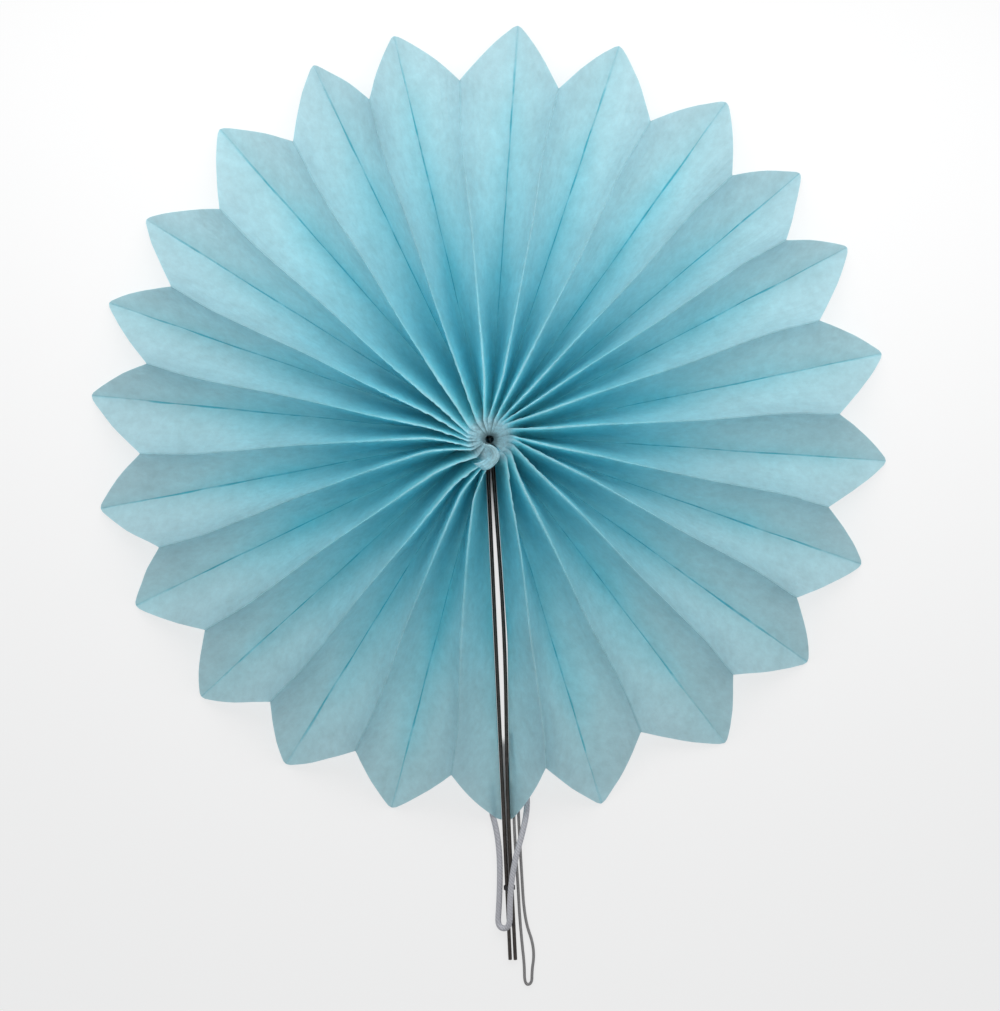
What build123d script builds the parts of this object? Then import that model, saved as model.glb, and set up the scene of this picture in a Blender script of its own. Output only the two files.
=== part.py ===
from build123d import *
from math import cos, radians, sin, sqrt, tan
import os

# Paper fan rosette, lying on its back: a strip of tissue pleated into 23 petals round a hub,
# held open by two steel wires whose free ends are bound together, with a tie string and a
# hanging loop. The rosette's axis is +Z, its face looks up, and its seam points along -Y.
# All sizes are millimetres and all angles are degrees, clockwise from +Y seen from the face.

# The folded leaves
rim_rise = 8.3               # height of the widest pleat's ridge where it ends at the notch
paper = 0.3                  # two plies of tissue and their glue
tip_radius = 125.4           # axis to a petal's tip, at the end of a valley fold
notch_radius = 107.3         # axis to the notch between two petals, at the end of a ridge fold
edge_bulge = 1.65            # how far a petal's cut edge bows out from its chord
tip_round = 1.0              # the tips are slightly blunt
trim = 4.0                   # the pleated strip is this much longer before its petals are cut
seam_angle = 178.0           # the valley where the strip's two ends meet
seam_opening = 0.25          # each end stops this short of the seam
petal_widths = [16.5, 17, 16, 16.5, 15, 16.5, 13.5, 13, 16.5, 16, 12, 17.5,
                14.5, 17, 14.5, 12.5, 16, 15.5, 15.5, 16.5, 17, 20.5, 14.5]

# The packed hub
hole_radius = 1.3
hub_radius = 6.5             # inside it the leaves are packed solid
groove_run = 2.5             # beyond the hub the grooves drop to full depth over this length
hub_overlap = 2.0            # the leaves run into the hub by this much
hub_groove = 1.5             # depth of the grooves where they run out at the hub
hollow_start = 12.0          # from here outwards each pleat is open underneath

# How far each ridge stands clockwise of its straight line, in the petals' order: its lean
# halfway, where hands have pushed it, and at the hub, where all of them swirl anticlockwise
lean_start = 20.0            # inside it the lean turns into the swirl
lean_end = 36.0              # outside it the lean fades out, up to the notch
swirl_bend = 1.35            # above 1, the swirl tightens towards the hub
ridge_leans = [3.0, 1.65, -0.45, 0.9, 2.6, 1.25, -0.55, -1.1, -2.4, -3.1, -2.0, 0.0,
               0.3, -0.95, -1.25, -1.9, -2.4, -2.3, -1.8, -3.6, -3.4, -2.6, -3.8]
hub_leans = [-1.35, -2.65, -3.6, -2.45, -1.55, -2.1, -2.0, -2.45, -2.9, -3.1, -2.0, -1.5,
             -1.8, -1.5, -1.8, -2.3, -2.9, -3.0, -2.7, -3.6, -3.9, -4.2, -4.3]

# The lip, the wires and the thread are placed along the seam. Each of their points is
# (how far to the right of the seam's line, how far out from the axis).

# The lip: the left end of the packed hub, curled over the upper ends of the wires
lip_edge = [(0.3, 1.0), (2.2, 3.0), (2.6, 5.4), (1.4, 8.3), (-1.1, 9.5)]
lip_root = [(-4.8, 6.0), (-3.2, 0.9)]
lip_rise = 0.8               # it stands this much above the hub's face
lip_floor = 3.4              # its underside, clear of the wires
lip_round = 0.7
lip_gap = 0.5                # slit between the lip's edge and the first leaf on the right

# The wires
wire_diameter = 1.2
wire_gap = 0.1               # glue between a wire and the edge of the leaf beside it
left_wire_route = [(-1.0, 4.0), (0.55, 172.1)]
right_wire_route = [(0.45, 4.0), (2.6, 66.1), (1.5, 116.1), (2.25, 172.2)]

# The binding thread
thread_diameter = 0.4
thread_turns = 3
thread_gap = 0.05            # between the thread and the wires inside it
thread_reach = 147.7

# The strings, as points (x, y, z)
cord_sides = 12              # a string's section is drawn with this many sides
tie_diameter = 1.9
tie_route = [
    (7.3, -96.0, 1.0), (7.5, -103.0, 1.0), (9.6, -109.5, 1.0), (12.0, -116.0, 1.0),
    (11.9, -122.5, 1.4), (10.3, -129.5, 2.5), (8.3, -136.5, 3.2), (6.9, -144.5, 3.4),
    (6.4, -152.5, 3.4), (6.4, -160.7, 3.3), (2.4, -161.2, 1.05), (2.9, -154.0, 1.0),
    (3.2, -145.0, 1.0), (3.1, -136.0, 1.0), (2.1, -128.0, 1.0), (0.2, -121.0, 1.0),
    (-1.0, -112.5, 1.0),
]
loop_diameter = 0.95
loop_route = [
    (7.4, -112.5, 0.55), (7.7, -124.0, 0.55), (8.3, -136.0, 0.55), (9.1, -147.0, 0.55),
    (9.6, -157.0, 0.55), (10.4, -166.5, 0.55), (11.2, -174.0, 0.55), (11.3, -180.9, 0.55),
    (13.7, -180.6, 0.55), (13.7, -176.0, 0.55), (14.4, -171.0, 0.55), (13.8, -166.0, 0.55),
    (11.9, -160.5, 0.55), (10.9, -153.5, 0.55), (10.4, -145.0, 0.55), (9.8, -135.0, 0.55),
    (9.2, -124.0, 0.55), (8.9, -112.5, 0.55),
]

bend_share = 0.45            # share of the shorter run that each side of a bend takes

# Worked out from the sizes above. A leaf is as wide from its ridge fold to its valley fold all
# the way out, and on every petal, so the widest one sets the width.
widest_half_chord = notch_radius * sin(radians(max(petal_widths) / 2))
leaf_width = sqrt(rim_rise ** 2 + widest_half_chord ** 2)
wire_radius = wire_diameter / 2
wire_height = thread_diameter + thread_gap + wire_radius
mean_half_angle = 180 / len(petal_widths)
tool_height = 2 * leaf_width
section_reaches = [
    hub_radius - hub_overlap,
    hub_radius + groove_run,
    hollow_start,
    lean_start,
    lean_end,
    (lean_end + notch_radius) / 2,
    notch_radius,
    tip_radius + trim,
]


def polar(radius, angle):
    return Vector(radius * sin(radians(angle)), radius * cos(radians(angle)))


def by_seam(aside, reach):
    return polar(reach, seam_angle) + polar(aside, seam_angle - 90)


def valley_angles():
    # The petals share out the whole turn, starting clockwise from the seam
    turned = [sum(petal_widths[:k]) for k in range(len(petal_widths) + 1)]
    whole = 360 - 2 * seam_opening
    return [seam_angle + seam_opening + whole * t / turned[-1] for t in turned]


def ridge_height(reach, half_angle):
    # The wider a pleat has opened, the lower its ridge. Past the notch the ridge is cut away.
    half_chord = min(reach, notch_radius) * sin(radians(half_angle))
    return sqrt(leaf_width ** 2 - half_chord ** 2)


def leaf_depth(reach):
    # Upright thickness of a leaf. Near the hub the leaves lie against each other, which lifts
    # the floor of the grooves between them until it is nearly level with the ridges.
    packed = leaf_width - hub_groove
    if reach <= hub_radius:
        return packed
    return min(paper * leaf_width / (reach * sin(radians(mean_half_angle))), packed)


def ridge_shift(reach, lean, hub_lean):
    # How far a ridge stands clockwise of its straight line
    inwards = min(1, max(0, (lean_start - reach) / (lean_start - hub_radius)))
    fade = min(1, max(0, (notch_radius - reach) / (notch_radius - lean_end)))
    shift = lean + (hub_lean - lean) * inwards ** swirl_bend
    return shift * fade * min(1, reach / hub_radius)


def valley_rails(angle):
    """The upper and lower line of a valley fold, from the hub outwards."""
    upper = [polar(reach, angle) + Vector(0, 0, leaf_depth(reach)) for reach in section_reaches]
    lower = [polar(reach, angle) for reach in section_reaches]
    return upper, lower


def ridge_rails(left_valley, right_valley, lean, hub_lean):
    """The upper and lower line of the ridge fold between two valleys."""
    half = (right_valley - left_valley) / 2
    middle = left_valley + half
    upper = []
    lower = []
    for reach in section_reaches:
        foot = polar(reach * cos(radians(half)), middle)
        height = ridge_height(reach, half)
        under = height - leaf_depth(reach) if reach > hollow_start else 0
        aside = polar(ridge_shift(reach, lean, hub_lean), middle + 90)
        upper.append(foot + aside + Vector(0, 0, height))
        lower.append(foot + aside * (under / height) + Vector(0, 0, under))
    return upper, lower


def flat_face(*corners):
    return make_face(Polyline(*corners, close=True)).face()


def leaf_faces(ridge, valley):
    """Face, back and both ends of one leaf. Paper bends without stretching, so each stretch of
    a leaf is two flat triangles between its ridge rail and its valley rail."""
    faces = []
    for ridge_rail, valley_rail in zip(ridge, valley):
        stations = list(zip(ridge_rail, valley_rail))
        for (near_ridge, near_valley), (far_ridge, far_valley) in zip(stations, stations[1:]):
            faces.append(flat_face(near_ridge, near_valley, far_valley))
            faces.append(flat_face(near_ridge, far_valley, far_ridge))
    for end in (0, -1):
        faces.append(flat_face(ridge[0][end], ridge[1][end], valley[1][end], valley[0][end]))
    return faces


def folded_sheet(valleys):
    """The whole pleated strip, as one closed shell."""
    faces = []
    for left, right, *leans in zip(valleys, valleys[1:], ridge_leans, hub_leans):
        ridge = ridge_rails(left, right, *leans)
        faces += leaf_faces(ridge, valley_rails(left))
        faces += leaf_faces(ridge, valley_rails(right))
    for seam in (valleys[0], valleys[-1]):
        upper, lower = valley_rails(seam)
        faces.append(flat_face(*upper, *reversed(lower)))
    return Solid(Shell(faces)).fix()


def petal_outline(valleys):
    valleys = valleys[:-1] + [valleys[0] + 360]
    edges = []
    for left, right in zip(valleys, valleys[1:]):
        notch = polar(notch_radius, (left + right) / 2)
        for start, end in ((polar(tip_radius, left), notch), (notch, polar(tip_radius, right))):
            chord = end - start
            outwards = Vector(-chord.Y, chord.X).normalized()
            edges.append(ThreePointArc(start, (start + end) / 2 + outwards * edge_bulge, end))
    sheet = make_face(edges)
    between = (tip_radius + notch_radius) / 2
    tips = [v for v in sheet.vertices() if Vector(v.X, v.Y).length > between]
    return fillet(tips, tip_round)


def bend_radii(points):
    radii = []
    for before, here, after in zip(points, points[1:], points[2:]):
        inwards = Vector(*here) - Vector(*before)
        onwards = Vector(*after) - Vector(*here)
        turn = inwards.get_angle(onwards)
        radii.append(bend_share * min(inwards.length, onwards.length) / tan(radians(turn / 2)))
    return radii


def wire_path(route, height, sideways=0.0):
    points = [by_seam(aside + sideways, reach) + Vector(0, 0, height) for aside, reach in route]
    if len(points) == 2:
        return Line(*points)
    return FilletPolyline(*points, radius=bend_radii(points))


def tube(path, section):
    start = Plane(origin=path @ 0, z_dir=path % 0)
    return sweep(start * section, path=path)


def cord(name, route, diameter):
    radii = bend_radii(route)
    print(name, "bend radii in diameters", [round(r / diameter, 1) for r in radii])
    path = FilletPolyline(*route, radius=radii)
    section = RegularPolygon(diameter / 2, cord_sides)
    solid = tube(path, section)
    print(name, "length", round(path.length, 1), "volume / (section x length)",
          round(solid.volume / (section.area * path.length), 4))
    return solid


def seam_slot():
    # Room for the two wires between the strip's two free edges
    beside = wire_radius + wire_gap
    left = wire_path(left_wire_route, 0, -beside)
    right = wire_path(right_wire_route, 0, beside)
    slot = make_face([left, right, Line(left @ 0, right @ 0), Line(left @ 1, right @ 1)])
    return extrude(slot, tool_height, both=True)


def lip_sheet(grow):
    # The free edge sweeps from the hole round to the lower left. Growing moves all of it but
    # its start away from the root.
    root = [by_seam(*point) for point in lip_root]
    root_middle = (root[0] + root[1]) / 2
    edge = [by_seam(*point) for point in lip_edge]
    grown = [point + (point - root_middle).normalized() * grow for point in edge[1:]]
    free = Spline(edge[0], *grown)
    return make_face([free, Polyline(free @ 1, *root, free @ 0)])


def build_lip():
    height = leaf_width + lip_rise - lip_floor
    lip = Pos(0, 0, lip_floor) * extrude(lip_sheet(0), height)
    free_edge = lip.edges().group_by(Axis.Z)[-1].filter_by(GeomType.BSPLINE)
    return fillet(free_edge, lip_round)


def build_paper():
    valleys = valley_angles()
    rosette = folded_sheet(valleys) & extrude(petal_outline(valleys), tool_height)
    rosette += Pos(0, 0, leaf_width / 2) * Cylinder(hub_radius, leaf_width)
    rosette -= seam_slot()
    rosette -= extrude(lip_sheet(lip_gap), tool_height)
    rosette += build_lip()
    rosette -= Cylinder(hole_radius, 2 * tool_height)
    return rosette


def build_wire(route):
    return tube(wire_path(route, wire_height), Circle(wire_radius))


def wire_aside(route, reach):
    # Where a wire is, along its last straight run
    (near_aside, near_reach), (far_aside, far_reach) = route[-2:]
    return near_aside + (far_aside - near_aside) * (reach - near_reach) / (far_reach - near_reach)


def build_thread():
    # A closed band round both wires, as wide as its turns side by side
    left = wire_aside(left_wire_route, thread_reach)
    right = wire_aside(right_wire_route, thread_reach)
    inner_radius = wire_radius + thread_gap
    centre = by_seam((left + right) / 2, thread_reach) + Vector(0, 0, wire_height)
    ring = Plane(origin=centre, x_dir=polar(1, seam_angle - 90), z_dir=polar(1, seam_angle))
    inner = SlotCenterToCenter(right - left, 2 * inner_radius)
    outer = SlotCenterToCenter(right - left, 2 * (inner_radius + thread_diameter))
    return extrude(ring * (outer - inner), thread_turns * thread_diameter / 2, both=True)


nodes = {
    "pleated_paper": build_paper(),
    "left_wire": build_wire(left_wire_route),
    "right_wire": build_wire(right_wire_route),
    "binding_thread": build_thread(),
    "tie_string": cord("tie_string", tie_route, tie_diameter),
    "hanging_loop": cord("hanging_loop", loop_route, loop_diameter),
}

os.makedirs("parts", exist_ok=True)
for name, shape in nodes.items():
    export_step(shape, "parts/" + name + ".step")
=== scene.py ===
import bmesh
import bpy
from math import cos, pi, radians, sin, sqrt
from mathutils import Matrix, Vector


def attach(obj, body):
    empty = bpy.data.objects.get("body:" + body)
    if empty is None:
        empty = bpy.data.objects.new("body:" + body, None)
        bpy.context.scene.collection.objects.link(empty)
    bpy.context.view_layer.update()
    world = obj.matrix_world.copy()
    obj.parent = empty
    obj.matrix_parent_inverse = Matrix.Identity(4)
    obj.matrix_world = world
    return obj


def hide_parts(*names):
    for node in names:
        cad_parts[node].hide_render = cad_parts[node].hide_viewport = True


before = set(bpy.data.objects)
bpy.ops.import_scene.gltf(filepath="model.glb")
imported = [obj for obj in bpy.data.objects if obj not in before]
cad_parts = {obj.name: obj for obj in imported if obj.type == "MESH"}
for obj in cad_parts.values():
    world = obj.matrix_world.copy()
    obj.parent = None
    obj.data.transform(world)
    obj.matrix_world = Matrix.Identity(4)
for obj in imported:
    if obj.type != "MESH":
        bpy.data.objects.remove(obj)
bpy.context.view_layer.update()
print("frame loaded, with", sorted(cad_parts))

scene = bpy.context.scene
mm = 0.001

# The photograph's own view of the fan, in millimetres
photoView = {
    "place": (1.30, 38.48, 499.03),
    "right": (1.0, 0.0, 0.00387),
    "up": (0.00047, 0.99259, -0.12152),
    "back": (-0.00384, 0.12152, 0.99258),
    "lens": 56.62,
}


def makeCamera():
    data = bpy.data.cameras.new("photoCamera")
    data.lens = photoView["lens"]
    data.sensor_width = 36
    data.clip_start = 0.01
    data.clip_end = 20
    camera = bpy.data.objects.new("photoCamera", data)
    scene.collection.objects.link(camera)
    turn = Matrix((photoView["right"], photoView["up"], photoView["back"])).transposed()
    camera.matrix_world = Matrix.Translation(Vector(photoView["place"]) * mm) @ turn.to_4x4()
    scene.camera = camera


makeCamera()


# Formulas in a node tree: a Field is one number on its way from node to node
class Field:
    def __init__(self, tree, socket):
        self.tree = tree
        self.socket = socket

    def math(self, operation, *others):
        return mathNode(self.tree, operation, self, *others)

    def __add__(self, other): return self.math("ADD", other)
    def __radd__(self, other): return self.math("ADD", other)
    def __sub__(self, other): return self.math("SUBTRACT", other)
    def __rsub__(self, other): return mathNode(self.tree, "SUBTRACT", other, self)
    def __mul__(self, other): return self.math("MULTIPLY", other)
    def __rmul__(self, other): return self.math("MULTIPLY", other)
    def __truediv__(self, other): return self.math("DIVIDE", other)
    def __rtruediv__(self, other): return mathNode(self.tree, "DIVIDE", other, self)
    def __pow__(self, other): return self.math("POWER", other)
    def sine(self): return self.math("SINE")
    def cosine(self): return self.math("COSINE")
    def size(self): return self.math("ABSOLUTE")
    def least(self, other): return self.math("MINIMUM", other)
    def most(self, other): return self.math("MAXIMUM", other)

    def ramp(self, start, end, low=0.0, high=1.0, kind="SMOOTHSTEP"):
        node = self.tree.nodes.new("ShaderNodeMapRange")
        node.interpolation_type = kind
        for slot, value in zip(node.inputs, (self, start, end, low, high)):
            plug(self.tree, value, slot)
        return Field(self.tree, node.outputs[0])

    def between(self, other, share):
        return self + (other - self) * share


def plug(tree, value, slot):
    if isinstance(value, Field):
        tree.links.new(value.socket, slot)
    elif isinstance(value, bpy.types.NodeSocket):
        tree.links.new(value, slot)
    else:
        slot.default_value = value


def mathNode(tree, operation, *values):
    node = tree.nodes.new("ShaderNodeMath")
    node.operation = operation
    for slot, value in zip(node.inputs, values):
        plug(tree, value, slot)
    return Field(tree, node.outputs[0])


def addNode(tree, kind, settings=None, **inputs):
    # inputs are named in camelCase for the sockets' own names, such as vertexCount for Vertex Count
    node = tree.nodes.new(kind)
    for name, value in (settings or {}).items():
        setattr(node, name, value)
    for name, value in inputs.items():
        label = "".join(" " + letter if letter.isupper() else letter for letter in name)
        slot = next(s for s in node.inputs if s.name.lower() == label.lower() and s.enabled)
        plug(tree, value, slot)
    return node


def newTree(name, sizes):
    # A modifier's tree with one named input for each size, and a material
    tree = bpy.data.node_groups.new(name, "GeometryNodeTree")
    tree.is_modifier = True
    tree.interface.new_socket("Geometry", in_out="INPUT", socket_type="NodeSocketGeometry")
    for label, value in sizes.items():
        kind = "NodeSocketInt" if isinstance(value, int) else "NodeSocketFloat"
        tree.interface.new_socket(label, in_out="INPUT", socket_type=kind)
    tree.interface.new_socket("Material", in_out="INPUT", socket_type="NodeSocketMaterial")
    tree.interface.new_socket("Geometry", in_out="OUTPUT", socket_type="NodeSocketGeometry")
    groupIn = tree.nodes.new("NodeGroupInput")
    fields = {label: Field(tree, groupIn.outputs[label]) for label in sizes}
    return tree, groupIn, fields


def runTree(tree, carrier, sizes, material, name):
    # The tree's result as a plain mesh object at the origin
    modifier = carrier.modifiers.new("rule", "NODES")
    modifier.node_group = tree
    for item in tree.interface.items_tree:
        if item.in_out == "INPUT" and item.name in sizes:
            modifier[item.identifier] = sizes[item.name]
        if item.in_out == "INPUT" and item.name == "Material":
            modifier[item.identifier] = material
    bpy.context.view_layer.update()
    evaluated = carrier.evaluated_get(bpy.context.evaluated_depsgraph_get())
    mesh = bpy.data.meshes.new_from_object(evaluated)
    mesh.name = name
    bpy.data.objects.remove(carrier)
    piece = bpy.data.objects.new(name, mesh)
    scene.collection.objects.link(piece)
    return piece


def newPiece(name, mesh, material):
    piece = bpy.data.objects.new(name, mesh)
    mesh.materials.clear()
    mesh.materials.append(material)
    scene.collection.objects.link(piece)
    return piece


# Materials

def newMaterial(name):
    material = bpy.data.materials.new(name)
    material.use_nodes = True
    tree = material.node_tree
    tree.nodes.clear()
    output = tree.nodes.new("ShaderNodeOutputMaterial")
    return material, tree, output


def mixColour(tree, share, first, second, blend="MIX"):
    node = tree.nodes.new("ShaderNodeMix")
    node.data_type = "RGBA"
    node.blend_type = blend
    for place, value in ((0, share), (6, first), (7, second)):
        if isinstance(value, tuple):
            value = (*value, 1.0)
        plug(tree, value, node.inputs[place])
    return node.outputs[2]


def colourAlong(tree, value, stops):
    # A colour that runs through the stops as the value grows
    start, end = stops[0][0], stops[-1][0]
    node = tree.nodes.new("ShaderNodeValToRGB")
    plug(tree, (value - start) / (end - start), node.inputs[0])
    marks = node.color_ramp.elements
    while len(marks) < len(stops):
        marks.new(0.5)
    for mark, (place, colour) in zip(marks, stops):
        mark.position = (place - start) / (end - start)
        mark.color = (*colour, 1)
    return node.outputs[0]


def mixShader(tree, share, first, second):
    node = tree.nodes.new("ShaderNodeMixShader")
    plug(tree, share, node.inputs[0])
    tree.links.new(first.outputs[0], node.inputs[1])
    tree.links.new(second.outputs[0], node.inputs[2])
    return node


def noise(tree, where, scale, detail=3.0, rough=0.5):
    node = tree.nodes.new("ShaderNodeTexNoise")
    plug(tree, where, node.inputs["Vector"])
    node.inputs["Scale"].default_value = scale
    node.inputs["Detail"].default_value = detail
    node.inputs["Roughness"].default_value = rough
    return Field(tree, node.outputs[0])


# Lengths here are in millimetres. A noise is its scale, detail and roughness
tissueLooks = {
    # painted light and shade: deeper in, the colour is stronger and brighter for light bouncing between
    # the leaves, and paler at the rim; millimetres from the axis, and the colour there
    "dye": [(10, (0.33, 0.88, 0.95)), (22, (0.20, 0.71, 0.81)), (38, (0.22, 0.66, 0.76)),
            (60, (0.36, 0.72, 0.80)), (90, (0.46, 0.72, 0.78)), (118, (0.47, 0.69, 0.75))],
    "fold": (0.50, 0.80, 0.87),          # painted highlight on the ridges near the hub
    "hub": (0.40, 0.64, 0.71),
    "line": (0.22, 0.66, 0.74),          # darkens the glued line along each valley
    "lineWidth": 0.34,
    "edge": (0.70, 0.79, 0.81),          # painted shade: darkens a thin line along each ridge
    "glow": 0.5,                         # share of the light that goes through
    "mottle": (70, 4, 0.6),
    "blotch": (22, 2, 0.5),
    "cloud": (340, 3, 0.6),
    "fibre": (900, 3, 0.7),
    "wander": (60, 2, 0.5),              # sideways, of each valley's line
    "broken": (120, 2, 0.6),             # along each valley's line
    "dents": (160, 3, 0.6),
    "blotchReach": 34,                   # how far blotches carry the dye in or out
    "valleyBlotch": 45,                  # more so towards the valleys, partly as painted shade there
    "paintedRidgePale": 32,                     # painted light: a ridge takes the paler colour from this much farther out
    "bump": 0.35,
    "bumpHeight": 0.6,
    "roughness": 0.82,
    "specular": 0.25,
}


def makeTissue():
    material, tree, output = newMaterial("tissue")
    looks = tissueLooks
    leafWidth = leafSizes["Leaf Width"] / mm
    place = tree.nodes.new("ShaderNodeTexCoord").outputs["Object"]
    leafMap = addNode(tree, "ShaderNodeUVMap", {"uv_map": "leafMap"})
    split = addNode(tree, "ShaderNodeSeparateXYZ", vector=leafMap.outputs[0])
    fromValley = (Field(tree, split.outputs[0]) - 0.5) * (2 * leafWidth)
    reach = Field(tree, split.outputs[1]) * 100            # millimetres from the axis
    across = fromValley.size() / leafWidth                 # 0 valley, 1 ridge

    mottle = noise(tree, place, *looks["mottle"])
    blotch = noise(tree, place, *looks["blotch"]) - 0.5
    cloud = noise(tree, place, *looks["cloud"])
    fibre = noise(tree, place, *looks["fibre"])

    # Painted light and shade: deeper in the folds and nearer to the hub the colour is stronger, for light
    # bouncing between the leaves, and the ridges are paler
    depth = blotch * (1 - across) * looks["valleyBlotch"] + (across - 0.5) * looks["paintedRidgePale"]
    far = reach + blotch * looks["blotchReach"] + depth * reach.ramp(25, 65)
    colour = colourAlong(tree, far, looks["dye"])
    # Painted highlight: near the hub the ridges and the leaves beside them are paler
    paintedRidgeLight = across.ramp(0.84, 0.97) * 0.65 + across.ramp(0.3, 0.9) * 0.25
    colour = mixColour(tree, paintedRidgeLight * reach.ramp(12, 52, 1.0, 0.0), colour, looks["fold"])
    # The hub's face: the imported leaves' edges, with painted shade between them and round the hole, and
    # painted light on their edges
    between = across.ramp(0.1, 0.75, 0.5, 1.12).between(1.0, reach.ramp(6, 10))
    speckle = fibre.ramp(0.3, 0.7, 0.85, 1.1).between(1.0, reach.ramp(5, 8))
    packed = between * reach.ramp(1.4, 3.4, 0.4, 1.0) * speckle
    colour = mixColour(tree, reach.ramp(5.0, 9.5, 1.0, 0.0), colour, looks["hub"])
    # The line in each valley, not quite straight
    wander = (noise(tree, place, *looks["wander"]) - 0.5) * 0.9
    strength = noise(tree, place, *looks["broken"]).ramp(0.3, 0.6, 0.3, 1.0)
    spread = mottle.ramp(0.35, 0.65, 1.1, 2.6) * looks["lineWidth"]
    line = (fromValley - wander).size().ramp(looks["lineWidth"] * 0.3, spread, 1.0, 0.0)
    faint = reach.ramp(14, 40) * reach.ramp(100, 122, 1.0, 0.25)
    colour = mixColour(tree, line * strength * faint, colour, looks["line"], "MULTIPLY")
    # Farther out each ridge has a thin grey line of painted shade
    edge = across.ramp(0.965, 0.998) * reach.ramp(32, 60)
    colour = mixColour(tree, edge, colour, looks["edge"], "MULTIPLY")
    # Uneven dye and fibres, and the hub's painted shade
    shade = mottle.ramp(0.25, 0.75, 0.92, 1.06, "LINEAR") * cloud.ramp(0.3, 0.7, 0.93, 1.05, "LINEAR")
    shade = shade * fibre.ramp(0.2, 0.8, 0.97, 1.03, "LINEAR") * packed
    grey = tree.nodes.new("ShaderNodeCombineColor")
    for slot in grey.inputs:
        plug(tree, shade, slot)
    colour = mixColour(tree, 1.0, colour, grey.outputs[0], "MULTIPLY")

    height = noise(tree, place, *looks["dents"]) * 0.75
    bump = addNode(tree, "ShaderNodeBump", strength=looks["bump"], distance=looks["bumpHeight"] * mm,
                   height=height)
    surface = addNode(tree, "ShaderNodeBsdfPrincipled", baseColor=colour, roughness=looks["roughness"],
                      normal=bump.outputs[0])
    surface.inputs["Specular IOR Level"].default_value = looks["specular"]
    through = addNode(tree, "ShaderNodeBsdfTranslucent", color=colour, normal=bump.outputs[0])
    leaf = mixShader(tree, looks["glow"], surface, through)
    # Light takes the dye's colour where it goes into a leaf, and comes out of the other face as it is
    inside = Field(tree, tree.nodes.new("ShaderNodeNewGeometry").outputs["Backfacing"])
    out = addNode(tree, "ShaderNodeBsdfTranslucent", color=(1.0, 1.0, 1.0, 1.0))
    both = mixShader(tree, inside, leaf, out)
    tree.links.new(both.outputs[0], output.inputs[0])
    return material


def makePlain(name, colour, roughness, metallic=0.0, grain=0.0, grainScale=400, tint=None, twist=None):
    # A finish with a fine grain, for wire and thread, and slanted strands a given distance apart
    material, tree, output = newMaterial(name)
    place = tree.nodes.new("ShaderNodeTexCoord").outputs["Object"]
    speckle = noise(tree, place, grainScale, 4, 0.65)
    tone = mixColour(tree, speckle.ramp(0.3, 0.7, 0.0, 1.0, "LINEAR"), colour, tint or colour)
    height = speckle
    if twist:
        split = addNode(tree, "ShaderNodeSeparateXYZ", vector=place)
        slant = (Field(tree, split.outputs[1]) + Field(tree, split.outputs[0])) * (2 * pi / (twist * mm))
        strand = slant.sine()
        height = speckle * 0.4 + strand * 0.45
        tone = mixColour(tree, strand.ramp(-1.0, -0.3, 0.22, 0.0), tone, tuple(c * 0.5 for c in colour))
    bump = addNode(tree, "ShaderNodeBump", strength=grain, distance=0.0002, height=height)
    surface = addNode(tree, "ShaderNodeBsdfPrincipled", baseColor=tone, roughness=roughness,
                      metallic=metallic, normal=bump.outputs[0])
    tree.links.new(surface.outputs[0], output.inputs[0])
    return material


# The pleated leaves follow one rule: from its ridge fold to its valley fold a leaf is equally
# wide all the way out, so a ridge sinks as its pleat opens
petalWidths = [16.5, 17, 16, 16.5, 15, 16.5, 13.5, 13, 16.5, 16, 12, 17.5,
               14.5, 17, 14.5, 12.5, 16, 15.5, 15.5, 16.5, 17, 20.5, 14.5]
fan = {
    "rimRise": 8.3,
    "notch": 107.3,
    "seam": 178.0,
    "seamOpening": 0.25,
    "beside": 0.7,                       # from a wire's middle to the paper beside it
    # how far each ridge leans clockwise, halfway and at the hub
    "leans": [3.0, 1.65, -0.45, 0.9, 2.6, 1.25, -0.55, -1.1, -2.4, -3.1, -2.0, 0.0,
              0.3, -0.95, -1.25, -1.9, -2.4, -2.3, -1.8, -3.6, -3.4, -2.6, -3.8],
    "hubLeans": [-1.35, -2.65, -3.6, -2.45, -1.55, -2.1, -2.0, -2.45, -2.9, -3.1, -2.0, -1.5,
                 -1.8, -1.5, -1.8, -2.3, -2.9, -3.0, -2.7, -3.6, -3.9, -4.2, -4.3],
    # how much deeper than the shallowest each notch is cut
    "cuts": [0.5, 0.3, 0.1, 0.8, 0.3, 0.2, 1.2, 1.4, 1.0, 1.0, 0.6, 0.3,
             1.3, 1.0, 0.3, 0.4, 1.2, 0.3, 1.1, 0.0, 1.2, 2.1, 2.5],
    # each wire's middle line: from the seam, and from the axis
    "leftWire": [(-1.0, 4.0), (0.55, 172.1)],
    "rightWire": [(0.45, 4.0), (2.6, 66.1), (1.5, 116.1), (2.25, 172.2)],
}
widestHalf = radians(max(petalWidths) / 2)
leafSizes = {
    "Across": 13,                        # points across a leaf, and along it
    "Along": 76,
    "Leaf Width": sqrt(fan["rimRise"] ** 2 + (fan["notch"] * sin(widestHalf)) ** 2) * mm,
    "Hole Radius": 1.3 * mm,
    "Hub Radius": 6.0 * mm,
    "Groove End": 10.0 * mm,
    "Notch Radius": fan["notch"] * mm,
    "Tip Radius": 125.75 * mm,
    "Edge Bulge": 1.65 * mm,             # of a leaf's cut edge, past a straight one
    "Tip Round": 0.7 * mm,
    "Paper": 0.3 * mm,
    "Mean Half": pi / len(petalWidths),
    "Lean Start": 20.0 * mm,
    "Lean End": 36.0 * mm,
    "Swirl Bend": 1.35,
    "Bow": 0.9 * mm,
    "Sag": 0.28,
    "Ragged": 1.3 * mm,
    "Wrinkle": 1.2 * mm,
    "Crease": 0.6,                       # edges sharper than this angle stay crisp
    "Weld": 0.002 * mm,
}
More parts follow.
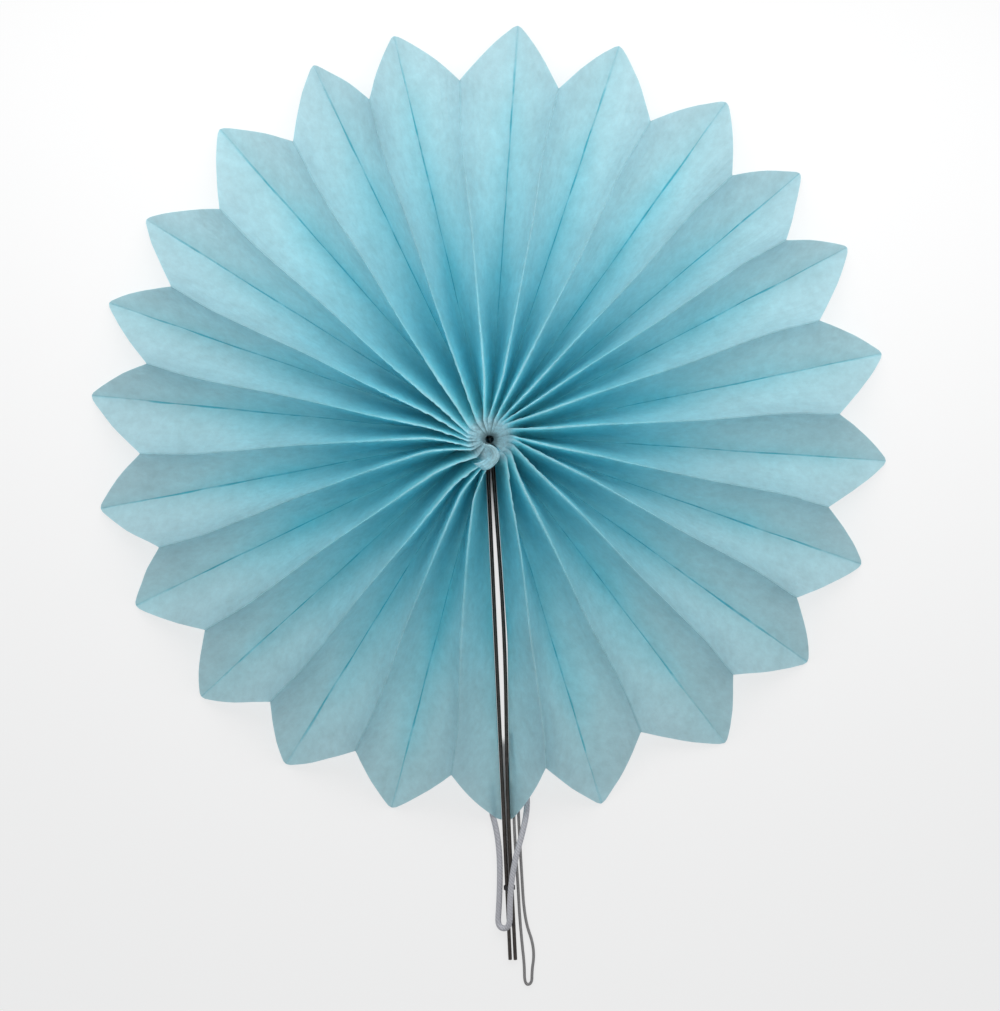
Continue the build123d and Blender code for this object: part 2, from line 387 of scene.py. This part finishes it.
# Cells are short near the hub: the share of them that ends this far out, in millimetres
cells = {"hub": (0.053, 5), "fine": (0.68, 44)}

leafFacts = ("ridgeTurn", "halfTurn", "valleyTurn", "side", "free", "lean", "hubLean", "cut")


def makeLeafPoints():
    # One point for each leaf, which carries what is the leaf's own
    turned = [sum(petalWidths[:k]) for k in range(len(petalWidths) + 1)]
    whole = 360 - 2 * fan["seamOpening"]
    valleys = [fan["seam"] + fan["seamOpening"] + whole * t / turned[-1] for t in turned]
    rows = []
    for left, right, lean, hubLean, cut in zip(valleys, valleys[1:], fan["leans"], fan["hubLeans"],
                                               fan["cuts"]):
        middle = (left + right) / 2
        half = (right - left) / 2
        for side, valley in ((-1, left), (1, right)):
            free = 0.0
            if valley == valleys[0]:
                free, valley = -1.0, fan["seam"]
            elif valley == valleys[-1]:
                free, valley = 1.0, fan["seam"] + 360
            rows.append((radians(middle), radians(half), radians(valley), float(side), free,
                         lean * mm, hubLean * mm, cut * mm))
    mesh = bpy.data.meshes.new("leafPoints")
    mesh.from_pydata([(0, 0, 0)] * len(rows), [], [])
    for place, label in enumerate(leafFacts):
        attribute = mesh.attributes.new(label, "FLOAT", "POINT")
        attribute.data.foreach_set("value", [row[place] for row in rows])
    carrier = bpy.data.objects.new("leafPoints", mesh)
    scene.collection.objects.link(carrier)
    return carrier


def alongWire(reach, points):
    # How far from the seam's own line a wire is, this far out
    aside = points[0][0] * mm
    for (near, start), (far, end) in zip(points, points[1:]):
        aside = aside + reach.ramp(start * mm, end * mm, 0.0, (far - near) * mm, "LINEAR")
    return aside


def leafRule():
    tree, groupIn, size = newTree("leafRule", leafSizes)
    add = lambda kind, settings=None, **inputs: addNode(tree, kind, settings, **inputs)

    def own(label):
        node = add("GeometryNodeInputNamedAttribute", {"data_type": "FLOAT"}, name=label)
        return Field(tree, node.outputs[0])

    # A box with one leaf's grid on its face and its back
    box = tree.nodes.new("GeometryNodeMeshCube")
    plug(tree, size["Across"], box.inputs["Vertices X"])
    plug(tree, size["Along"], box.inputs["Vertices Y"])
    box.inputs["Vertices Z"].default_value = 2
    box.inputs["Size"].default_value = (1, 1, 1)
    spread = add("GeometryNodeInstanceOnPoints", points=groupIn.outputs["Geometry"],
                 instance=box.outputs["Mesh"])
    real = add("GeometryNodeRealizeInstances", geometry=spread.outputs[0])

    corner = add("ShaderNodeSeparateXYZ", vector=tree.nodes.new("GeometryNodeInputPosition").outputs[0])
    boxX, boxY, boxZ = (Field(tree, s) for s in corner.outputs)

    # Walls between neighbouring leaves go, apart from those at the strip's two ends
    ridgeWall = boxX.math("LESS_THAN", -0.499)
    valleyWall = boxX.math("GREATER_THAN", 0.499) * own("free").size().math("LESS_THAN", 0.5)
    opened = add("GeometryNodeDeleteGeometry", {"domain": "FACE", "mode": "ALL"},
                 geometry=real.outputs[0], selection=ridgeWall.most(valleyWall))

    # Each point's place on its leaf is kept, because its position is about to change
    geometry = opened.outputs[0]
    finer = (boxX + 0.5).ramp(0.0, 1.0)              # narrower cells beside both folds
    for label, value in (("across", finer), ("along", boxY + 0.5), ("onFace", boxZ + 0.5)):
        store = add("GeometryNodeStoreNamedAttribute", {"data_type": "FLOAT", "domain": "POINT"},
                    geometry=geometry, name=label, value=value)
        geometry = store.outputs[0]

    across, along, onFace = own("across"), own("along"), own("onFace")
    ridgeTurn, half, valleyTurn, side, free, lean, hubLean, cut = (own(label) for label in leafFacts)

    # The cut edge, from the ridge's notch to the valley's tip
    notch, tip = size["Notch Radius"], size["Tip Radius"]
    chord = 1 / (across / tip + (1 - across) * half.cosine() / (notch - cut))
    bulge = size["Edge Bulge"] * (across * pi).sine().most(0.0)
    blunt = size["Tip Round"] * across.ramp(0.9, 1.0, 0.0, 1.0, "LINEAR") ** 2
    rim = chord + bulge - blunt
    # How far out this point is
    (hubShare, hubEnd), (fineShare, fineEnd) = cells["hub"], cells["fine"]
    reach = (size["Hole Radius"] + along.ramp(0.0, hubShare, 0.0, hubEnd * mm, "LINEAR")
             + along.ramp(hubShare, fineShare, 0.0, 1.0, "LINEAR")
             * ((fineEnd - hubEnd) * mm - size["Hole Radius"])
             + along.ramp(fineShare, 1.0, 0.0, 1.0, "LINEAR") * (rim - fineEnd * mm))

    # Heights of the two folds, and the upright thickness
    width, hub = size["Leaf Width"], size["Hub Radius"]
    halfChord = reach.math("SMOOTH_MIN", notch + 3 * mm, 12 * mm) * half.sine()
    ridgeHeight = (width * width - halfChord * halfChord) ** 0.5
    packed = width - 0.35 * mm - reach * 0.1
    loose = size["Paper"] * width / (reach * size["Mean Half"].sine())
    thick = packed.between(loose.least(packed), reach.ramp(hub - 1 * mm, size["Groove End"]))

    # Each ridge has its own lean, which turns into the swirl at the hub
    inwards = reach.ramp(size["Lean Start"], hub, 0.0, 1.0, "LINEAR") ** size["Swirl Bend"]
    fade = ((notch - reach) / (notch - size["Lean End"])).most(0.0).math("SMOOTH_MIN", 1.0, 0.15)
    shift = lean.between(hubLean, inwards) * fade * (reach / hub).least(1.0)
    # Near the rim each ridge bends clockwise to its notch
    bow = size["Bow"] * reach.ramp(60 * mm, 92 * mm) * reach.ramp(92 * mm, 109 * mm, 1.0, 0.0)
    shift = shift - bow
    aboveFloor = ridgeHeight - thick * (1 - onFace)
    shift = shift * aboveFloor / ridgeHeight
    ridgeX = reach * half.cosine() * ridgeTurn.sine() + shift * ridgeTurn.cosine()
    ridgeY = reach * half.cosine() * ridgeTurn.cosine() - shift * ridgeTurn.sine()

    # The strip's two ends run beside the wires
    leftAside = alongWire(reach, fan["leftWire"]) - fan["beside"] * mm
    rightAside = alongWire(reach, fan["rightWire"]) + fan["beside"] * mm
    aside = leftAside * (free * -1).most(0.0) + rightAside * free.most(0.0)
    valleyX = reach * valleyTurn.sine() - aside * valleyTurn.cosine()
    valleyY = reach * valleyTurn.cosine() + aside * valleyTurn.sine()

    placeX = ridgeX.between(valleyX, across)
    placeY = ridgeY.between(valleyY, across)
    # The leaves sag: steep beside a ridge, and flatter towards a valley. The strip's two ends don't
    sag = size["Sag"] * reach.ramp(20 * mm, 60 * mm) * (1 - free.size() * 1.4)
    bent = across + sag * 2 * across * (1 - across) ** 2
    top = ridgeHeight.between(thick, bent)
    placeZ = top - thick * (1 - onFace)
    place = add("ShaderNodeCombineXYZ", x=placeX, y=placeY, z=placeZ)

    # Tissue is never quite flat: broad soft waves, and ragged ridges near the hub
    def shake(scale, detail, amount):
        node = tree.nodes.new("ShaderNodeTexNoise")
        plug(tree, place.outputs[0], node.inputs["Vector"])
        node.inputs["Scale"].default_value = scale
        node.inputs["Detail"].default_value = detail
        centred = add("ShaderNodeVectorMath", {"operation": "SUBTRACT"})
        plug(tree, node.outputs["Color"], centred.inputs[0])
        centred.inputs[1].default_value = (0.5, 0.5, 0.5)
        scaled = add("ShaderNodeVectorMath", {"operation": "SCALE"})
        plug(tree, centred.outputs[0], scaled.inputs[0])
        plug(tree, amount, scaled.inputs["Scale"])
        return scaled.outputs[0]

    calm = reach.ramp(10 * mm, 45 * mm) * (0.35 + (across * (1 - across)) * 2.6)
    waves = shake(55, 2, size["Wrinkle"] * calm * (1 - free.size() * across.ramp(0.0, 0.5)))
    rough = (across.ramp(0.0, 0.09, 1.0, 0.0) * reach.ramp(6 * mm, 12 * mm)
             * reach.ramp(28 * mm, 50 * mm, 1.0, 0.0) * onFace)
    nibbles = shake(700, 2, size["Ragged"] * rough)
    moved = add("ShaderNodeVectorMath", {"operation": "ADD"})
    plug(tree, waves, moved.inputs[0])
    plug(tree, nibbles, moved.inputs[1])
    final = add("ShaderNodeVectorMath", {"operation": "ADD"})
    plug(tree, place.outputs[0], final.inputs[0])
    plug(tree, moved.outputs[0], final.inputs[1])
    # Nothing goes below the table
    finalXYZ = add("ShaderNodeSeparateXYZ", vector=final.outputs[0])
    settled = add("ShaderNodeCombineXYZ", x=Field(tree, finalXYZ.outputs[0]),
                  y=Field(tree, finalXYZ.outputs[1]), z=Field(tree, finalXYZ.outputs[2]).most(0.0))
    placed = add("GeometryNodeSetPosition", geometry=geometry, position=settled.outputs[0])

    leafMap = add("ShaderNodeCombineXYZ", x=0.5 + side * (1 - across) * 0.5, y=reach / (100 * mm))
    mapped = add("GeometryNodeStoreNamedAttribute", {"data_type": "FLOAT2", "domain": "CORNER"},
                 geometry=placed.outputs[0], name="leafMap", value=leafMap.outputs[0])
    mirrored = add("GeometryNodeFlipFaces", mesh=mapped.outputs[0], selection=side.math("LESS_THAN", 0))
    sewn = add("GeometryNodeMergeByDistance", geometry=mirrored.outputs[0], distance=size["Weld"])

    # Folds stay crisp, and the leaves between them smooth
    angle = Field(tree, tree.nodes.new("GeometryNodeInputMeshEdgeAngle").outputs["Unsigned Angle"])
    smooth = add("GeometryNodeSetShadeSmooth", {"domain": "EDGE"}, geometry=sewn.outputs[0],
                 selection=angle.math("GREATER_THAN", size["Crease"]))
    smooth.inputs["Shade Smooth"].default_value = False
    finish = add("GeometryNodeSetMaterial", geometry=smooth.outputs[0],
                 material=groupIn.outputs["Material"])
    output = tree.nodes.new("NodeGroupOutput")
    tree.links.new(finish.outputs[0], output.inputs[0])
    return tree


tissue = makeTissue()
leaves = runTree(leafRule(), makeLeafPoints(), leafSizes, tissue, "pleatedLeaves")
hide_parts("pleated_paper")
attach(leaves, "root")
print("leaves made,", len(leaves.data.polygons), "faces")


def besideSeam(aside, reach, height):
    # A point placed along the seam, in millimetres
    turn = radians(fan["seam"])
    x = reach * sin(turn) - aside * cos(turn)
    y = reach * cos(turn) + aside * sin(turn)
    return Vector((x, y, height)) * mm


# The lip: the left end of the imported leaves, curled round under the hole and over the wires' upper ends.
# Its lines run from the left of the hole, round the tip and back to the lower left
lip = {
    "edge": [(-1.9, 0.3), (-1.1, 1.4), (0.4, 1.65), (1.9, 2.6), (2.75, 4.2), (2.8, 5.6), (2.1, 7.0),
             (0.7, 8.4), (-0.8, 9.2), (-2.2, 9.3)],
    "root": [(-4.8, -1.0), (-3.6, 0.6), (-2.4, 1.9), (-1.2, 3.1), (-0.6, 4.3), (-0.8, 5.2), (-1.7, 6.1),
             (-2.9, 6.7), (-4.0, 7.1), (-4.9, 7.2)],
    "top": 20.62,
    "rise": 0.75,
    "droop": 1.3,                        # of its edge
    "sink": 0.25,                        # of its two ends
    "floor": 18.6,
    "line": 0.03,                        # height of the fine lines along it
    "lines": 5,
    "shade": (0.68, 0.16),               # where it lies on the tissue's map: the middle and the lines
    "shadeReach": 4.5,
    "steps": 72,
    "rings": 41,
}


def smoothPoints(points, count):
    # Evenly numbered points along a smooth line through the given ones
    def at(t):
        k = min(int(t), len(points) - 2)
        f = t - k
        before = points[max(k - 1, 0)]
        here, there = points[k], points[k + 1]
        after = points[min(k + 2, len(points) - 1)]
        return tuple(
            0.5 * (2 * b + (c - a) * f + (2 * a - 5 * b + 4 * c - d) * f * f
                   + (3 * b - a - 3 * c + d) * f ** 3)
            for a, b, c, d in zip(before, here, there, after))
    return [at((len(points) - 1) * k / (count - 1)) for k in range(count)]


def smoothStep(value, start, end):
    share = min(max((value - start) / (end - start), 0.0), 1.0)
    return share * share * (3 - 2 * share)


def makeLip(material):
    edge = smoothPoints(lip["edge"], lip["steps"])
    root = smoothPoints(lip["root"], lip["steps"])
    mesh = bmesh.new()
    rows = []
    for j, (outer, inner) in enumerate(zip(edge, root)):
        s = j / (lip["steps"] - 1)
        free = smoothStep(s, 0.0, 0.25) * smoothStep(s, 1.0, 0.8)    # its two ends sink into the hub
        row = []
        for k in range(lip["rings"]):
            t = k / (lip["rings"] - 1)
            share = sin(t * pi / 2)
            aside = inner[0] + (outer[0] - inner[0]) * share
            reach = inner[1] + (outer[1] - inner[1]) * share
            crown = smoothStep(t, 0.0, 0.55) * lip["rise"] * free
            fine = cos(t * 2 * pi * lip["lines"]) * lip["line"]
            fine *= smoothStep(t, 0.05, 0.2) * smoothStep(t, 0.95, 0.7)
            drop = smoothStep(t, 0.6, 1.0) ** 2 * lip["droop"] * free + lip["sink"] * (1 - free)
            row.append(mesh.verts.new(besideSeam(aside, reach, lip["top"] + crown + fine - drop)))
        rows.append(row)
    for first, second in zip(rows, rows[1:]):
        for k in range(lip["rings"] - 1):
            mesh.faces.new((first[k], first[k + 1], second[k + 1], second[k]))
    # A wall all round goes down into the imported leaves, and a floor closes it
    around = ([row[-1] for row in rows] + [v for v in reversed(rows[-1][:-1])]
              + [row[0] for row in reversed(rows[:-1])] + rows[0][1:-1])
    low = []
    for vertex in around:
        spot = vertex.co.copy()
        spot.z = lip["floor"] * mm
        low.append(mesh.verts.new(spot))
    for a, b, c, d in zip(around, around[1:] + around[:1], low[1:] + low[:1], low):
        mesh.faces.new((a, b, c, d))
    mesh.faces.new(low)
    bmesh.ops.recalc_face_normals(mesh, faces=mesh.faces)
    data = bpy.data.meshes.new("curledLip")
    layer = mesh.loops.layers.uv.new("leafMap")
    where = {}
    for row in rows:
        for k, vertex in enumerate(row):
            where[vertex] = k / (lip["rings"] - 1)
    for face in mesh.faces:
        face.smooth = True
        for loop in face.loops:
            t = where.get(loop.vert, 1.0)
            middle, depth = lip["shade"]
            across = middle + depth * cos(t * 2 * pi * lip["lines"]) * smoothStep(t, 0.95, 0.75)
            loop[layer].uv = (0.5 + 0.5 * across, lip["shadeReach"] / 100)
    mesh.to_mesh(data)
    mesh.free()
    piece = newPiece("curledLip", data, material)
    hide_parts("pleated_paper")
    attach(piece, "root")


makeLip(tissue)
print("lip made")

# Wires keep their CAD shapes
wireSteel = makePlain("wireSteel", (0.035, 0.032, 0.03), 0.35, 0.8, 0.15, 900, (0.07, 0.06, 0.055))
for name in ("left_wire", "right_wire"):
    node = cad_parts[name]
    node.data.materials.clear()
    node.data.materials.append(wireSteel)
darkThread = makePlain("darkThread", (0.02, 0.02, 0.022), 0.8, 0.0, 0.6, 2500, (0.05, 0.05, 0.055))
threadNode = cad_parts["binding_thread"]
threadNode.data.materials.clear()
threadNode.data.materials.append(darkThread)


# The strings, in millimetres: each is one limp line that lies on the table and over the wires
strings = {
    "tieString": {
        "node": "tie_string",
        "slot": "white_cotton",
        "diameter": 1.9,
        "route": [
            (8.0, -96.0, 1.0), (8.3, -103.0, 1.0), (9.6, -109.5, 1.0), (12.0, -116.0, 1.0),
            (11.9, -122.5, 1.4), (10.3, -129.5, 2.5), (8.3, -136.5, 3.2), (6.9, -144.5, 3.4),
            (6.4, -152.5, 3.4), (6.4, -160.7, 3.3), (2.4, -161.2, 1.05), (2.9, -154.0, 1.0),
            (3.2, -145.0, 1.0), (3.1, -136.0, 1.0), (2.1, -128.0, 1.0), (0.2, -121.0, 1.0),
            (-1.0, -112.5, 1.0),
        ],
    },
    "hangingLoop": {
        "node": "hanging_loop",
        "slot": "grey_cotton",
        "diameter": 0.95,
        "route": [
            (7.4, -112.5, 0.55), (7.7, -124.0, 0.55), (8.3, -136.0, 0.55), (9.1, -147.0, 0.55),
            (9.6, -157.0, 0.55), (10.4, -166.5, 0.55), (11.2, -174.0, 0.55), (11.3, -180.9, 0.55),
            (13.7, -180.6, 0.55), (13.7, -176.0, 0.55), (14.4, -171.0, 0.55), (13.8, -166.0, 0.55),
            (11.9, -160.5, 0.55), (10.9, -153.5, 0.55), (10.4, -145.0, 0.55), (9.8, -135.0, 0.55),
            (9.2, -124.0, 0.55), (8.9, -112.5, 0.55),
        ],
    },
}


def makeString(name, facts, material):
    curve = bpy.data.curves.new(name, "CURVE")
    curve.dimensions = "3D"
    spline = curve.splines.new("NURBS")
    route = facts["route"]
    spline.points.add(len(route) - 1)
    for point, spot in zip(spline.points, route):
        point.co = (*(Vector(spot) * mm), 1)
    spline.order_u = 3
    spline.use_endpoint_u = True
    spline.resolution_u = 12
    curve.bevel_depth = facts["diameter"] * mm / 2
    curve.bevel_resolution = 5
    curve.use_fill_caps = True
    curve.materials.append(material)
    piece = bpy.data.objects.new(name, curve)
    scene.collection.objects.link(piece)
    line = curveLine(curve)
    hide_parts(facts["node"])
    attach(piece, "root")


def curveLine(curve):
    # The curve's own line, with no bevel
    plain = curve.copy()
    plain.bevel_depth = 0
    carrier = bpy.data.objects.new("lineCarrier", plain)
    scene.collection.objects.link(carrier)
    bpy.context.view_layer.update()
    mesh = bpy.data.meshes.new_from_object(carrier.evaluated_get(bpy.context.evaluated_depsgraph_get()))
    line = [v.co.copy() for v in mesh.vertices]
    bpy.data.objects.remove(carrier)
    bpy.data.curves.remove(plain)
    bpy.data.meshes.remove(mesh)
    return line


whiteCotton = makePlain("whiteCotton", (0.60, 0.60, 0.65), 0.9, 0.0, 0.6, 1800, (0.74, 0.74, 0.78), 1.15)
greyCotton = makePlain("greyCotton", (0.30, 0.29, 0.29), 0.9, 0.0, 0.6, 2200, (0.42, 0.41, 0.41), 0.7)
makeString("tieString", strings["tieString"], whiteCotton)
makeString("hangingLoop", strings["hangingLoop"], greyCotton)

# Table and light
studio = {
    "table": 0.88,
    "tableSeen": 1.0,                    # how the bare table looks to the camera
    "tableShare": 0.7,
    "tableDrop": 0.02,
    "shaded": (0.010, 0.036),            # under the hub the table isn't brightened
    # nor is it between the wires, in millimetres from the axis and from its middle line
    "gap": {"start": 97, "end": 160, "aside": 4.36, "slope": 0.042, "half": 0.5, "soft": 0.4},
    "world": 0.37,
    "roomSeen": 0.85,
    "window": {"place": (0.008, 0.118, 0.15), "aim": (0.0, 0.0, 0.0), "width": 0.45, "height": 0.15,
               "power": 0.51},
}


def makeStudio():
    material, tree, output = newMaterial("paleTable")
    plain = addNode(tree, "ShaderNodeBsdfDiffuse", color=(studio["table"],) * 3 + (1,))
    shown = addNode(tree, "ShaderNodeEmission", color=(studio["tableSeen"],) * 3 + (1,), strength=1.0)
    path = tree.nodes.new("ShaderNodeLightPath")
    seen = Field(tree, path.outputs["Is Camera Ray"]) + Field(tree, path.outputs["Is Glossy Ray"])
    spot = tree.nodes.new("ShaderNodeTexCoord").outputs["Object"]
    place = addNode(tree, "ShaderNodeVectorMath", {"operation": "LENGTH"})
    plug(tree, spot, place.inputs[0])
    bare = Field(tree, place.outputs["Value"]).ramp(*studio["shaded"])
    split = addNode(tree, "ShaderNodeSeparateXYZ", vector=spot)
    gap = studio["gap"]
    down = Field(tree, split.outputs[1]) / -mm
    middle = (down - gap["start"]) * gap["slope"] + gap["aside"]
    aside = (Field(tree, split.outputs[0]) / mm - middle).size()
    inGap = aside.ramp(gap["half"], gap["half"] + gap["soft"], 1.0, 0.0)
    inGap = inGap * down.ramp(gap["start"], gap["start"] + 4)
    bare = bare * (1 - inGap * down.ramp(gap["end"], gap["end"] + 2, 1.0, 0.0))
    seen = (seen + Field(tree, path.outputs["Is Transmission Ray"])).least(1.0)
    seen = seen * bare * studio["tableShare"]
    tree.links.new(mixShader(tree, seen, plain, shown).outputs[0], output.inputs[0])
    mesh = bpy.data.meshes.new("table")
    mesh.from_pydata([(-3, -3, 0), (3, -3, 0), (3, 3, 0), (-3, 3, 0)], [], [(0, 1, 2, 3)])
    table = newPiece("table", mesh, material)
    table.location.z = -studio["tableDrop"] * mm

    world = bpy.data.worlds.new("softRoom")
    world.use_nodes = True
    room = world.node_tree
    room.nodes.clear()
    light = addNode(room, "ShaderNodeBackground", color=(0.97, 0.985, 1.0, 1), strength=studio["world"])
    pale = addNode(room, "ShaderNodeBackground", color=(1, 1, 1, 1), strength=studio["roomSeen"])
    rays = room.nodes.new("ShaderNodeLightPath")
    shown = Field(room, rays.outputs["Is Camera Ray"]) + Field(room, rays.outputs["Is Glossy Ray"])
    shown = (shown + Field(room, rays.outputs["Is Transmission Ray"])).least(1.0)
    output = room.nodes.new("ShaderNodeOutputWorld")
    room.links.new(mixShader(room, shown, light, pale).outputs[0], output.inputs[0])
    scene.world = world

    window = studio["window"]
    lamp = bpy.data.lights.new("window", "AREA")
    lamp.shape = "RECTANGLE"
    lamp.size, lamp.size_y = window["width"], window["height"]
    lamp.energy = window["power"]
    holder = bpy.data.objects.new("window", lamp)
    holder.location = window["place"]
    away = Vector(window["place"]) - Vector(window["aim"])
    holder.rotation_euler = away.to_track_quat("Z", "Y").to_euler()
    scene.collection.objects.link(holder)


makeStudio()
scene.view_settings.view_transform = "Standard"
print("table and light made")
